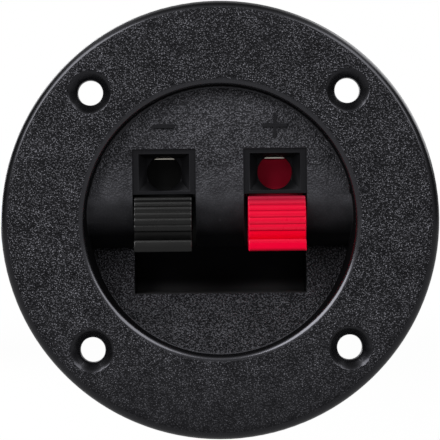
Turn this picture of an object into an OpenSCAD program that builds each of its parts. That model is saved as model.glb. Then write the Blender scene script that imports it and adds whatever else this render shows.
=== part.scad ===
// Round speaker terminal cup with two spring levers.
// The front faces -Y, +X is to the right and +Z is up.
// The origin is the centre of the flange's back face, which lies on the panel.

/* [Flange] */
// Outer diameter of the flange
flange_d = 75; // [72:0.5:90]
// Thickness of the flange
flange_t = 3; // [2.4:0.1:5]
// Rounding of the flange's front edge
flange_edge_r = 2.3; // [0.4:0.1:2.4]

/* [Panel screws] */
// Diameter of the circle through the screw holes
screw_circle_d = 62; // [59:0.5:64]
// Number of screw holes
screw_count = 4; // [3:1:8]
// Diameter of the screw holes
screw_hole_d = 4.3; // [3:0.1:5]
// Diameter of the countersinks at the flange's face
countersink_d = 7.4; // [5.6:0.1:8]

/* [Cup] */
// Inner diameter of the cup below its rounded rim
cup_d = 46; // [44:0.2:50]
// Wall of the cup at its rim
cup_wall = 2.4; // [1.4:0.1:3]
// Rounding of the cup's rim
cup_rim_r = 1.2; // [0.3:0.1:1.5]
// Draft of the cup's wall in degrees
cup_draft = 1.5; // [0:0.1:3]
// Depth of the upper floor below the flange's face
floor_depth = 3; // [2:0.1:5]
// Thickness of the floors
floor_t = 2.4; // [1.8:0.1:3.2]
// Fillet between the upper floor and the wall
floor_fillet_r = 0.3; // [0.2:0.1:1.2]
// Length of the collar that enters the panel's hole
spigot_len = 4; // [2.6:0.1:6]

/* [Step and ramp] */
// Height of the line where the upper floor begins to round back
step_top_z = 4.3; // [3:0.1:6]
// Height of the rounded step
step_h = 9; // [8.5:0.1:9.5]
// Radius of the rounded step
step_r = 10.4; // [9.6:0.1:12]
// Distance from the step's rounding to the deep end of the ramp
ramp_gap = 0.8; // [0.2:0.1:2]
// Depth of the ramp below the flange's face at the bottom of the cup
ramp_end_depth = 2.2; // [1:0.1:4]

/* [Finger pit] */
// Height of the pit below the step
pit_h = 8; // [6:0.1:9]
// Depth of the pit behind the deep end of the ramp
pit_depth = 6.6; // [5:0.1:8]
// Rounding at the bottom of the pit
pit_r = 2.3; // [1:0.1:5.5]

/* [Levers] */
// Distance between the middles of the two levers
lever_spacing = 19.1; // [17:0.1:22]
// Width of a lever
lever_w = 9.9; // [9:0.1:11]
// Gap between a lever's side and its slot
lever_side_gap = 0.4; // [0.25:0.05:0.7]
// How far each lever sits towards the outer side of its slot
lever_shift = 0.2; // [0:0.05:0.2]
// Radius of the ribbed face
face_r = 5.4; // [4.6:0.1:6]
// Wall of the ribbed face
face_t = 1.7; // [1.2:0.1:2.2]
// How far the ribbed face stands in front of the upper floor
face_proud = 1.9; // [1:0.1:2.6]
// Height from the face's axis to the start of the step's rounding
face_drop = 4.6; // [4:0.1:5]
// Number of ribs on the face
rib_count = 6; // [3:1:7]
// Spacing of the ribs along the face
rib_pitch = 1.15; // [0.9:0.05:1.2]
// Radius of a rib's rounding
rib_r = 0.9; // [0.7:0.05:1.1]
// Height of a rib above the face
rib_h = 0.25; // [0.15:0.05:0.3]
// Angle of the top rib above the face's front, in degrees
rib_start = 50; // [40:1:52]
// How far the lip stands in front of the ribbed face
lip_proud = 0.85; // [0.4:0.05:1.1]
// Height of the lip's top below the face's axis
lip_drop = 3.05; // [2.8:0.05:3.3]
// Height of the lip
lip_h = 2; // [1.6:0.1:2.4]
// Radius of the lip's bulging front
lip_bulge_r = 4; // [3:0.1:6]
// Wall of the lever's cheeks
cheek_t = 1.3; // [1:0.1:1.8]
// Diameter of the axle
axle_d = 3; // [2.4:0.1:3.4]
// Running clearance round the axle
axle_clear = 0.05; // [0.02:0.01:0.1]
// How far the axle enters each wall of its bay
axle_grip = 0.8; // [0.5:0.1:1]
// Distance of the axle behind the upper floor
axle_back = 14; // [12.5:0.1:17]
// Height of the axle above the start of the step's rounding
axle_rise = 0.7; // [0:0.1:1.5]
// Wall of the hub round the axle
hub_wall = 1.1; // [0.8:0.1:1.5]

/* [Wire entries] */
// Height of the smooth frame round an entry
entry_h = 7.75; // [7:0.05:9]
// Depth of the smooth frame
entry_recess = 0.4; // [0.2:0.05:0.7]
// Thickness of the wall that the entries go through
entry_t = 3.6; // [3.2:0.1:4.2]
// Width of the funnel at the frame
funnel_w = 8.7; // [7.4:0.1:9.6]
// Height of the funnel at the frame
funnel_h = 6.4; // [6.2:0.1:6.8]
// Height of the funnel's middle above the hole's middle
funnel_rise = 0.05; // [0:0.05:0.3]
// Length of the straight hole behind the funnel
hole_land = 1.7; // [1.5:0.1:2]
// Diameter of the wire hole
wire_hole_d = 6; // [4.6:0.1:6.2]
// Height of the wire hole's middle above the lever's slot
hole_rise = 3.75; // [3.4:0.05:4]

/* [Clamp jaws] */
// Distance of the jaw behind the wall of the entry
jaw_standoff = 1.8; // [1.5:0.1:2.4]
// Thickness of the jaw
jaw_t = 1.6; // [1.2:0.1:2]
// Width of the jaw
jaw_w = 6.4; // [5:0.1:7]
// Gap between the jaw and the contact strip
jaw_gap = 0.1; // [0.05:0.05:0.3]

/* [Contacts] */
// Width of the contact strip
strip_w = 7; // [5.5:0.1:8]
// Thickness of the contact strip
strip_t = 0.4; // [0.3:0.05:0.6]
// Height of the strip's underside above the wire hole's middle
strip_rise = 2.4; // [2.4:0.05:2.8]
// Gap between the wall of the entry and the strip's front edge
strip_inset = 0.9; // [0.3:0.1:1.5]
// Width of the solder tab
tab_w = 4.8; // [3:0.1:5.2]
// Length of the solder tab behind the cover
tab_len = 8; // [5:0.5:12]
// Diameter of the hole in the solder tab
tab_hole_d = 1.8; // [1:0.1:2.2]

/* [Springs] */
// Outer diameter of a spring
spring_d = 4.5; // [3.6:0.1:4.8]
// Diameter of the spring wire
spring_wire_d = 0.55; // [0.4:0.05:0.7]
// Turns of a spring, its closed end turns among them
spring_turns = 7; // [5:0.5:8]
// Height of the axle above the spring's axis
spring_drop = 5.5; // [5:0.1:5.8]
// Length of the studs that centre a spring
stud_len = 1.4; // [0.8:0.1:2]

/* [Rear cover] */
// Wall of the bays
bay_wall = 1.9; // [1.5:0.1:2.5]
// Thickness of the bays' roof
roof_t = 2; // [1.4:0.1:3]
// Thickness of the cover
cover_t = 2; // [1.5:0.1:3]
// Gap between an axle's hub and the cover
cover_gap = 1; // [0.5:0.1:2]
// Rounding of the cover's corners
cover_corner_r = 1.5; // [0.5:0.1:3]
// Gap round pieces that slide into one another
slide_clear = 0.05; // [0.03:0.01:0.15]

/* [Cover screws] */
// Diameter of the screws' shanks
shank_d = 2.6; // [2:0.1:3]
// Length of the screws under the head
shank_len = 10; // [7:0.5:11]
// Diameter of the screw heads
head_d = 5.2; // [4.4:0.1:6]
// Height of the screw heads
head_h = 1.8; // [1.4:0.1:2.4]
// Height of the upper screw above the axle
screw_rise = 3.6; // [2.5:0.1:4.5]
// Distance between the two screws
screw_step = 8.6; // [7:0.1:9]
// Wall of the bosses round the screws
boss_wall = 1.2; // [0.9:0.1:1.6]

/* [Hidden] */
$fn = 96;

// Overlap that lets cuts run past the faces they open
past = 1;
// Half of the reach that covers the whole part
reach = flange_d;

// Flange and cup
front_y = -flange_t;
flange_r = flange_d / 2;
back_edge_chamfer = 0.3;
edge_r = min(flange_edge_r, flange_t - 2 * back_edge_chamfer);
cup_r = cup_d / 2;
spigot_r = cup_r + cup_wall;
collar_t = 0.75 * cup_wall;
floor_y = front_y + floor_depth;
floor_back_y = floor_y + floor_t;
entry_back_y = floor_y + entry_t;

// Step, ramp and pit
step_axis_y = floor_y + step_r;
step_bottom_z = step_top_z - step_h;
step_end_y = step_axis_y - sqrt(step_r * step_r - step_h * step_h);
ramp_top_y = step_end_y + ramp_gap;
ramp_end_y = front_y + ramp_end_depth;
ramp_slope = (ramp_top_y - ramp_end_y) / (step_bottom_z + cup_r);
ramp_back = floor_t * sqrt(1 + ramp_slope * ramp_slope);
pit_bottom_z = step_bottom_z - pit_h;
pit_back_y = ramp_top_y + pit_depth;

// Bays
slot_w = lever_w + 2 * lever_side_gap;
slot_rise = 0.15;
slot_top_z = step_top_z + slot_rise;
bay_x = lever_spacing / 2;
bay_outer_x = bay_x + slot_w / 2;
bay_inner_x = bay_x - slot_w / 2;
box_half_w = bay_outer_x + bay_wall;
hole_z = slot_top_z + hole_rise;
strip_z = hole_z + strip_rise;
roof_z = strip_z + strip_t;
box_top_z = roof_z + roof_t;
box_bottom_z = step_bottom_z - bay_wall;
low_steep = 1.25;
high_steep = 0.5;

// Lever
face_y = floor_y - face_proud + face_r;
face_z = step_top_z - face_drop;
face_top_z = slot_top_z - lever_side_gap;
rib_angle = rib_pitch / face_r * 180 / PI;
rib_axis_r = face_r + rib_h - rib_r;
lip_front = face_r + lip_proud;
lip_bottom = lip_drop + lip_h;
lip_t = 2.6;
lip_overlap = 1;
bulge_share = 0.3;
axle_y = floor_y + axle_back;
axle_z = step_top_z + axle_rise;
axle_half = slot_w / 2 + axle_grip - lever_shift / 2;
hub_r = axle_d / 2 + hub_wall;
jaw_y = entry_back_y + jaw_standoff;
jaw_back_y = jaw_y + jaw_t;
jaw_top_z = strip_z - jaw_gap;
jaw_foot_rise = 1;
jaw_foot_z = axle_z + jaw_foot_rise;
neck_t = 1.7;
seat_t = 1.6;
seat_gap = 0.8;
seat_y = jaw_back_y + seat_gap + seat_t;

// Cover and spring
rear_y = axle_y + hub_r + cover_gap;
cover_back_y = rear_y + cover_t;
keeper_depth = axle_grip + 4 * slide_clear;
keeper_start = axle_d / 4;
spring_z = axle_z - spring_drop;
spring_r = (spring_d - spring_wire_d) / 2;
stud_d = spring_d - 2 * spring_wire_d - 6 * slide_clear;

// Screws of the cover
screw_z = axle_z + screw_rise;
boss_d = shank_d + 2 * boss_wall;
pilot_spare = 0.6;
pilot_len = shank_len - cover_t + pilot_spare;
rib_wall = 2;
pocket_half = bay_inner_x - rib_wall;

// Extrudes an outline drawn in (y, z) along X, centred on x = 0
module along_x(width) {
    rotate([90, 0, 90]) linear_extrude(height = width, center = true) children();
}

// Extrudes an outline drawn in (x, z) along Y from y = start
module along_y(start, length) {
    translate([0, start + length, 0]) rotate([90, 0, 0]) linear_extrude(height = length) children();
}

// Turns an outline drawn in (radius, y) about the Y axis
module turned() {
    rotate([-90, 0, 0]) rotate_extrude() children();
}

// A round bar along Y
module bar_y(x, z, diameter, start, length) {
    translate([x, start, z]) rotate([-90, 0, 0]) cylinder(d = diameter, h = length);
}

// A round bar along X, centred on x
module bar_x(x, y, z, diameter, length) {
    translate([x, y, z]) rotate([0, 90, 0]) cylinder(d = diameter, h = length, center = true);
}

// A rectangle between two corners
module between(low, high) {
    translate(low) square(high - low);
}

// A rectangle with round corners, centred
module rounded_rect(width, height, radius) {
    square([width - 2 * radius, height], center = true);
    square([width, height - 2 * radius], center = true);
    for (sx = [-1, 1], sy = [-1, 1])
        translate([sx * (width / 2 - radius), sy * (height / 2 - radius)]) circle(radius);
}

// Places its children at each of the two bays
module each_bay() {
    for (side = [-1, 1]) translate([side * bay_x, 0, 0]) children();
}

// Depth of the ramp's face at a height
function ramp_y(z) = ramp_top_y + (z - step_bottom_z) * ramp_slope;

// Outline of the flange, with its rounded front edge and a small chamfer at the back
module flange_outline() {
    round_y = front_y + edge_r;
    between([0, front_y], [flange_r - edge_r, 0]);
    polygon([
        [0, round_y], [flange_r, round_y], [flange_r, -back_edge_chamfer],
        [flange_r - back_edge_chamfer, 0], [0, 0]
    ]);
    intersection() {
        translate([flange_r - edge_r, round_y]) circle(edge_r);
        between([0, front_y], [flange_r, -back_edge_chamfer]);
    }
}

// Radius of the cup's drafted wall at a depth
function wall_r(y) = cup_r - (y - front_y - cup_rim_r) * tan(cup_draft);

// Outline of the air in the cup down to a depth, with the rim's rounding
module cup_air_outline(depth_y) {
    rim_y = front_y + cup_rim_r;
    difference() {
        polygon([
            [0, front_y - past], [cup_r + cup_rim_r, front_y - past], [cup_r + cup_rim_r, rim_y],
            [cup_r, rim_y], [wall_r(depth_y), depth_y], [0, depth_y]
        ]);
        translate([cup_r + cup_rim_r, rim_y]) circle(cup_rim_r);
    }
}

// Outline of the air above the upper floor, with the floor's fillet
module upper_air_outline() {
    fillet_x = wall_r(floor_y) - floor_fillet_r;
    fillet_y = floor_y - floor_fillet_r;
    cup_air_outline(fillet_y);
    between([0, front_y], [fillet_x, floor_y]);
    intersection() {
        translate([fillet_x, fillet_y]) circle(floor_fillet_r);
        between([0, front_y], [wall_r(fillet_y), floor_y]);
    }
}

// Section of everything behind the front surfaces of the step and the ramp
module behind_front() {
    between([floor_y, step_top_z], [reach, reach]);
    intersection() {
        translate([step_axis_y, step_top_z]) circle(step_r);
        between([floor_y - past, step_bottom_z], [step_axis_y, step_top_z]);
    }
    between([step_axis_y, step_bottom_z], [reach, step_top_z]);
    polygon([
        [ramp_top_y, step_bottom_z], [ramp_y(-reach), -reach], [reach, -reach], [reach, step_bottom_z]
    ]);
}

// Section of the space behind the upper floor and the step's wall
module behind_step() {
    between([floor_back_y, step_top_z], [reach, reach]);
    intersection() {
        translate([step_axis_y, step_top_z]) circle(step_r - floor_t);
        between([floor_y, step_bottom_z + floor_t], [step_axis_y, step_top_z]);
    }
    between([step_axis_y, step_bottom_z + floor_t], [reach, step_top_z]);
}

// Section of the cup with its air, up to the back of its floors
module cup_section() {
    ramp_back_y = ramp_top_y + ramp_back;
    low_z = -spigot_r - past;
    low_y = max(ramp_y(low_z) + ramp_back, front_y + floor_t);
    between([front_y, step_top_z - past], [floor_back_y, reach]);
    difference() {
        between([front_y, step_bottom_z], [ramp_back_y, step_top_z]);
        translate([step_axis_y, step_top_z]) circle(step_r - floor_t);
    }
    polygon([
        [front_y, step_bottom_z + floor_t], [ramp_back_y, step_bottom_z + floor_t],
        [ramp_back_y, step_bottom_z], [low_y, low_z], [front_y, low_z]
    ]);
}

// The cup before its air is cut out, with the collar that enters the panel's hole
module cup_block() {
    intersection() {
        turned() between([0, front_y], [spigot_r, reach]);
        along_x(2 * reach) cup_section();
    }
    turned() between([spigot_r - collar_t, front_y + past], [spigot_r, spigot_len]);
}

// Air in the cup, in front of the floors; the upper air reaches down into the lower air
module cup_air() {
    intersection() {
        turned() cup_air_outline(reach / 2);
        difference() {
            along_x(2 * reach) between([front_y - 2 * past, -reach], [reach / 2, step_top_z]);
            along_x(3 * reach) behind_front();
        }
    }
    intersection() {
        turned() upper_air_outline();
        along_x(2 * reach) between([front_y - 2 * past, step_top_z - past], [reach, reach]);
    }
}

// Section of the finger pit, with its round bottom
module pit_section(grow) {
    low = pit_bottom_z - grow;
    back = pit_back_y + grow;
    round_r = pit_r + grow;
    between([front_y - past, low], [back - round_r, step_bottom_z]);
    between([front_y - past, low + round_r], [back, step_bottom_z]);
    translate([back - round_r, low + round_r]) circle(round_r);
}

// Outside of the bays and of the finger pit, behind the front surfaces
module bay_block() {
    intersection() {
        union() {
            along_x(2 * box_half_w) between([floor_y, box_bottom_z], [rear_y, box_top_z]);
            along_x(2 * box_half_w) pit_section(bay_wall);
        }
        along_x(3 * box_half_w) behind_front();
    }
}

// Section of a bay, which opens to the front below the slot's top edge
module bay_section() {
    polygon([
        [entry_back_y, roof_z], [rear_y + past, roof_z], [rear_y + past, step_bottom_z],
        [pit_back_y, step_bottom_z], [pit_back_y, step_bottom_z - past],
        [front_y - past, step_bottom_z - past], [front_y - past, slot_top_z], [entry_back_y, slot_top_z]
    ]);
}

// Space of one axle and the way it slides in from behind
module axle_way() {
    way_d = axle_d + 2 * axle_clear;
    way_w = slot_w + 2 * keeper_depth + 2 * slide_clear;
    bar_x(0, axle_y, axle_z, way_d, way_w);
    along_x(way_w) between([axle_y, axle_z - way_d / 2], [rear_y + past, axle_z + way_d / 2]);
}

// One wire entry: a smooth frame, a four-sided funnel and a round hole
module wire_entry() {
    funnel_y = floor_y + entry_recess;
    funnel_end = entry_back_y - hole_land;
    half_w = funnel_w / 2;
    low = funnel_rise - funnel_h / 2;
    high = funnel_rise + funnel_h / 2;
    side_in = (funnel_w - wire_hole_d) / 2;
    low_in = low_steep * side_in;
    high_in = high_steep * side_in;
    along_y(floor_y - past, entry_recess + past)
        between([-slot_w / 2, slot_top_z - past], [slot_w / 2, slot_top_z + entry_h]);
    intersection() {
        translate([0, 0, hole_z - funnel_h]) linear_extrude(height = 2 * funnel_h) polygon([
            [-half_w, floor_y], [half_w, floor_y], [half_w, funnel_y],
            [half_w - side_in, funnel_end], [side_in - half_w, funnel_end], [-half_w, funnel_y]
        ]);
        translate([0, 0, hole_z]) along_x(2 * funnel_w) polygon([
            [floor_y, low], [floor_y, high], [funnel_y, high],
            [funnel_end, high - high_in], [funnel_end, low + low_in], [funnel_y, low]
        ]);
    }
    bar_y(0, hole_z, wire_hole_d, floor_y, entry_t + strip_inset / 3);
}

// One countersunk hole for a panel screw, at the flange's middle
module panel_screw_hole() {
    sink = (countersink_d - screw_hole_d) / 2;
    turned() polygon([
        [0, front_y - past], [countersink_d / 2, front_y - past], [countersink_d / 2, front_y],
        [screw_hole_d / 2, front_y + sink], [screw_hole_d / 2, past], [0, past]
    ]);
}

// Hollow of the middle rib between the bays, with the two screw bosses left standing
module rib_pocket() {
    difference() {
        along_x(2 * pocket_half) intersection() {
            behind_step();
            between([floor_y, step_bottom_z], [rear_y + past, roof_z]);
        }
        for (z = [screw_z, screw_z - screw_step])
            bar_y(0, z, boss_d, floor_y, rear_y - floor_y);
    }
}

// Flange, cup, step, pit and bays in one moulding
module housing() {
    color("#1b1b1c") difference() {
        union() {
            turned() flange_outline();
            cup_block();
            bay_block();
        }
        cup_air();
        along_x(2 * bay_outer_x) pit_section(0);
        each_bay() {
            along_x(slot_w) bay_section();
            axle_way();
            wire_entry();
        }
        rib_pocket();
        for (z = [screw_z, screw_z - screw_step])
            bar_y(0, z, shank_d + 2 * slide_clear, rear_y - pilot_len, pilot_len + past);
        for (i = [0 : screw_count - 1])
            rotate([0, (i + 0.5) * 360 / screw_count, 0])
                translate([0, 0, screw_circle_d / 2]) panel_screw_hole();
    }
}

// Section of a lever's front, about the axis of its ribbed face: the face curves back above the lip
module face_section() {
    intersection() {
        difference() {
            union() {
                circle(face_r);
                for (i = [0 : rib_count - 1])
                    rotate(i * rib_angle - rib_start) translate([-rib_axis_r, 0]) circle(rib_r);
            }
            circle(face_r - face_t);
        }
        between([-2 * face_r, -lip_drop - lip_overlap], [-face_t, face_top_z - face_z]);
    }
    intersection() {
        translate([lip_bulge_r - lip_front, bulge_share * lip_h - lip_bottom]) circle(lip_bulge_r);
        between([-lip_front - past, -lip_bottom], [lip_t - lip_front, -lip_drop]);
    }
}

// Section of a lever's cheek, from behind the face to the hub
module cheek_section() {
    translate([axle_y, axle_z]) circle(hub_r);
    polygon([
        [face_y - face_r / 2, face_top_z], [jaw_y, face_top_z], [jaw_y, jaw_foot_z],
        [jaw_back_y, jaw_foot_z + jaw_t / 2], [axle_y, axle_z + hub_r], [axle_y + hub_r, axle_z],
        [axle_y, axle_z - hub_r], [seat_y, spring_z - spring_d / 2],
        [face_y + lip_t - lip_front, face_z - lip_bottom],
        [face_y + lip_t / 2 - face_r, face_z - lip_drop], [face_y + face_t / 2 - face_r, face_z]
    ]);
}

// One lever about the middle of its bay, moved sideways but with the spring's stud in the middle
module lever(shift) {
    translate([shift, 0, 0]) {
        translate([0, face_y, face_z]) along_x(lever_w) face_section();
        along_x(lever_w) between([face_y - face_r / 2, face_top_z - neck_t], [jaw_back_y, face_top_z]);
        along_x(lever_w) between([jaw_y, face_top_z - neck_t], [jaw_back_y, jaw_foot_z]);
        along_x(jaw_w) between([jaw_y, face_top_z], [jaw_back_y, jaw_top_z]);
        for (side = [-1, 1])
            translate([side * (lever_w - cheek_t) / 2, 0, 0]) along_x(cheek_t) cheek_section();
        along_x(lever_w - cheek_t)
            between([seat_y - seat_t, spring_z - spring_d / 2], [seat_y, spring_z + spring_d / 2]);
        bar_x(0, axle_y, axle_z, axle_d, 2 * axle_half);
    }
    bar_y(0, spring_z, stud_d, seat_y - seat_t / 2, stud_len + seat_t / 2);
}

module lever_black() {
    color("#202021") translate([-bay_x, 0, 0]) lever(-lever_shift);
}

module lever_red() {
    color("#d8001e") translate([bay_x, 0, 0]) lever(lever_shift);
}

// Flat contact strip under the bay's roof, with a narrower solder tab through the cover
module contact() {
    end_y = cover_back_y + tab_len;
    translate([0, 0, strip_z]) linear_extrude(height = strip_t) difference() {
        union() {
            between([-strip_w / 2, entry_back_y + strip_inset], [strip_w / 2, rear_y]);
            between([-tab_w / 2, rear_y - past], [tab_w / 2, end_y - tab_w / 2]);
            translate([0, end_y - tab_w / 2]) circle(d = tab_w);
        }
        translate([0, end_y - tab_w / 2]) circle(d = tab_hole_d);
    }
}

module contact_negative() {
    color("#c9c4b6") translate([-bay_x, 0, 0]) contact();
}

module contact_positive() {
    color("#c9c4b6") translate([bay_x, 0, 0]) contact();
}

// Coil spring with closed ends, swept along a helix about the Y axis
wire_sides = 8;
turn_rings = 18;
spring_rings = round(spring_turns * turn_rings);
spring_start = seat_y + spring_wire_d / 2 + slide_clear;
spring_end = rear_y - spring_wire_d / 2 - slide_clear;
closed_pitch = 1.1 * spring_wire_d;
open_pitch = (spring_end - spring_start - 2 * closed_pitch) / (spring_turns - 2);
function coil_y(turn) =
    turn < 1 ? spring_start + turn * closed_pitch
    : turn > spring_turns - 1 ? spring_end - (spring_turns - turn) * closed_pitch
    : spring_start + closed_pitch + (turn - 1) * open_pitch;
function ring_point(turn, side) =
    let (around = 360 * side / wire_sides, r = spring_r + spring_wire_d / 2 * cos(around))
    [r * cos(360 * turn), coil_y(turn) + spring_wire_d / 2 * sin(around), spring_z + r * sin(360 * turn)];
module spring() {
    last = spring_rings * wire_sides;
    polyhedron(
        points = [for (i = [0 : spring_rings], s = [0 : wire_sides - 1]) ring_point(i / turn_rings, s)],
        faces = concat(
            [[for (s = [0 : wire_sides - 1]) s]],
            [for (i = [0 : spring_rings - 1], s = [0 : wire_sides - 1])
                let (a = i * wire_sides, b = a + wire_sides, n = (s + 1) % wire_sides)
                [a + s, b + s, b + n, a + n]],
            [[for (s = [wire_sides - 1 : -1 : 0]) last + s]]
        )
    );
}

module spring_negative() {
    color("#8f9194") translate([-bay_x, 0, 0]) spring();
}

module spring_positive() {
    color("#8f9194") translate([bay_x, 0, 0]) spring();
}

// Keepers that fill the axle's ways and hold the axle from behind
module axle_keepers() {
    half_h = axle_d / 2 + axle_clear - slide_clear;
    middle_x = (slot_w + keeper_depth + slide_clear) / 2;
    difference() {
        for (side = [-1, 1])
            translate([side * middle_x, 0, 0]) along_x(keeper_depth - slide_clear)
                between([axle_y + keeper_start, axle_z - half_h], [rear_y + past, axle_z + half_h]);
        bar_x(0, axle_y, axle_z, axle_d + 2 * axle_clear, 2 * slot_w);
    }
}

// Plate that closes the bays, with the axle keepers and the springs' studs
module rear_cover() {
    tab_half = tab_w / 2 + slide_clear;
    color("#242425") difference() {
        union() {
            along_y(rear_y, cover_t) translate([0, (box_top_z + box_bottom_z) / 2])
                rounded_rect(2 * box_half_w, box_top_z - box_bottom_z, cover_corner_r);
            each_bay() {
                axle_keepers();
                bar_y(0, spring_z, stud_d, rear_y - stud_len, stud_len + past);
            }
        }
        each_bay() along_y(rear_y - past, cover_t + 2 * past)
            between([-tab_half, strip_z - slide_clear], [tab_half, roof_z + slide_clear]);
        for (z = [screw_z, screw_z - screw_step])
            bar_y(0, z, shank_d + 6 * slide_clear, rear_y - past, cover_t + 2 * past);
    }
}

// One pan-head screw with a cross recess, its head on the cover
module cover_screw() {
    edge = head_h / 3;
    cross_w = head_d / 8;
    cross_l = head_d * 0.55;
    difference() {
        union() {
            bar_y(0, 0, shank_d, cover_back_y - shank_len, shank_len + edge);
            turned() {
                between([0, cover_back_y], [head_d / 2, cover_back_y + head_h - edge]);
                between([0, cover_back_y], [head_d / 2 - edge, cover_back_y + head_h]);
                translate([head_d / 2 - edge, cover_back_y + head_h - edge]) circle(edge);
            }
        }
        along_y(cover_back_y + head_h / 2, head_h) {
            square([cross_w, cross_l], center = true);
            square([cross_l, cross_w], center = true);
        }
    }
}

module cover_screws() {
    color("#b9babc") for (z = [screw_z, screw_z - screw_step]) translate([0, 0, z]) cover_screw();
}

housing();
lever_black();
lever_red();
contact_negative();
contact_positive();
spring_negative();
spring_positive();
rear_cover();
cover_screws();
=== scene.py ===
"""Looks of a round speaker terminal cup with a black and a red spring lever.

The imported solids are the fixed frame. Each moulding and each plated piece is a merged copy of its solid
with softened edges, so that its edges catch light, and the springs are wound anew. Each finish is a
procedural material.
"""

import logging
import math
from dataclasses import dataclass
from enum import Enum
from typing import Callable, Iterable, Optional

import bmesh
import bpy
from mathutils import Matrix, Vector


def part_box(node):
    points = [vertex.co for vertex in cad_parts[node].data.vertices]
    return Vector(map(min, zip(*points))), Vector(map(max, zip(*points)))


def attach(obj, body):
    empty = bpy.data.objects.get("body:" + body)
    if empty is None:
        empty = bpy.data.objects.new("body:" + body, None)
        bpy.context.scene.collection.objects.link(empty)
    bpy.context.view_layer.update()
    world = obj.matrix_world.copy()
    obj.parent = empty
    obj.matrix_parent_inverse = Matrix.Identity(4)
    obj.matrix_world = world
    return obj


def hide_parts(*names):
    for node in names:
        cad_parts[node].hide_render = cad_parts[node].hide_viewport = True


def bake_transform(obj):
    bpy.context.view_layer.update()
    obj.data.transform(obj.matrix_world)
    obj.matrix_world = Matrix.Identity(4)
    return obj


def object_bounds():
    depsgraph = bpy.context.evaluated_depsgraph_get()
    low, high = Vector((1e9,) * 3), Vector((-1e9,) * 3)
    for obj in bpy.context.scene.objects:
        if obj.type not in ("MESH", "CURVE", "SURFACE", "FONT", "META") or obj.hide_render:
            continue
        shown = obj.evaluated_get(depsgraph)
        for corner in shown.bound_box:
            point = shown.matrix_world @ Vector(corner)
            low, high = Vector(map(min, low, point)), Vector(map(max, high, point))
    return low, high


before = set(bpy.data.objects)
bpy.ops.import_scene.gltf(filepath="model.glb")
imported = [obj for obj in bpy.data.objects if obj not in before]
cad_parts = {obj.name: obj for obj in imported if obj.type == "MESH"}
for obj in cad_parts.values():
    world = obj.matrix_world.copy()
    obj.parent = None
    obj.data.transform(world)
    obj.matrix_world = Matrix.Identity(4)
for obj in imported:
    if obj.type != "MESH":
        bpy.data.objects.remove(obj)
CAD_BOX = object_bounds()

LOG = logging.getLogger("speaker_terminal")
MM = 0.001
# Points closer than this are one point, in millimetres
MERGE_MM = 0.0005
# Faces that turn by less than this are one flat face, in degrees
FLAT_DEG = 0.6
# Edges that turn by more than this stay sharp in the shading, in degrees
SHARP_DEG = 32.0
# Colour and strength of a background that renders white
WHITE = "#ffffff"
WHITE_LEVEL = 1.0

Span = tuple[float, float]
Tree = bpy.types.NodeTree
Socket = bpy.types.NodeSocket
Material = bpy.types.Material
Piece = bpy.types.Object
Edge = bmesh.types.BMEdge
Face = bmesh.types.BMFace


class Bay(Enum):
    """The two bays of the terminal, named for their polarity."""

    NEGATIVE = "negative"
    POSITIVE = "positive"


class Zone(Enum):
    """Surfaces of the housing that the mould left with their own texture."""

    SMOOTH = 0
    FLANGE = 1
    FLOOR = 2
    STEP = 3
    PIT = 4
    FUNNEL = 5
    RIM = 6
    RAMP = 7
    WALL = 8
    FRAME = 9


class LeverZone(Enum):
    """Surfaces of a lever that look different."""

    SMOOTH = 0
    JAW = 1
    GROOVE = 2
    TROUGH = 3
    LIP = 4


def inside(value: float, span: Span) -> bool:
    """Whether a value lies between the two of a span."""
    return span[0] < value < span[1]


def linear(hex_code: str) -> tuple[float, float, float, float]:
    """Turns an sRGB hex colour into linear values, by the standard curve of sRGB.

    Args:
        hex_code: Colour such as "#1a1a1b".

    Returns:
        Linear red, green and blue, with an alpha of 1.
    """
    parts = (int(hex_code[i:i + 2], 16) / 255 for i in (1, 3, 5))
    red, green, blue = (c / 12.92 if c <= 0.04045 else ((c + 0.055) / 1.055) ** 2.4 for c in parts)
    return red, green, blue, 1.0


def add_node(
    tree: Tree,
    kind: str,
    settings: Optional[dict] = None,
    links: Optional[dict] = None,
) -> bpy.types.Node:
    """Adds one node with its settings and links.

    Args:
        tree: Tree that gets the node.
        kind: Type name of the node.
        settings: Properties, and values of unlinked inputs by name or index.
        links: Output sockets that feed the inputs, by name or index.

    Returns:
        The new node.
    """
    node = tree.nodes.new(kind)
    for key, value in (settings or {}).items():
        if isinstance(key, str) and hasattr(node, key):
            setattr(node, key, value)
        else:
            node.inputs[key].default_value = value
    for key, socket in (links or {}).items():
        tree.links.new(socket, node.inputs[key])
    return node


def new_material(name: str) -> tuple[Material, Tree]:
    """Makes an empty node material.

    Args:
        name: Name of the material.

    Returns:
        The material and its tree.
    """
    material = bpy.data.materials.new(name)
    material.use_nodes = True
    material.node_tree.nodes.clear()
    return material, material.node_tree


def scale_of(size_mm: float) -> float:
    """Texture scale on Object coordinates, in metres, at which a pattern's cell has this size."""
    return 1.0 / (size_mm * MM)


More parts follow.
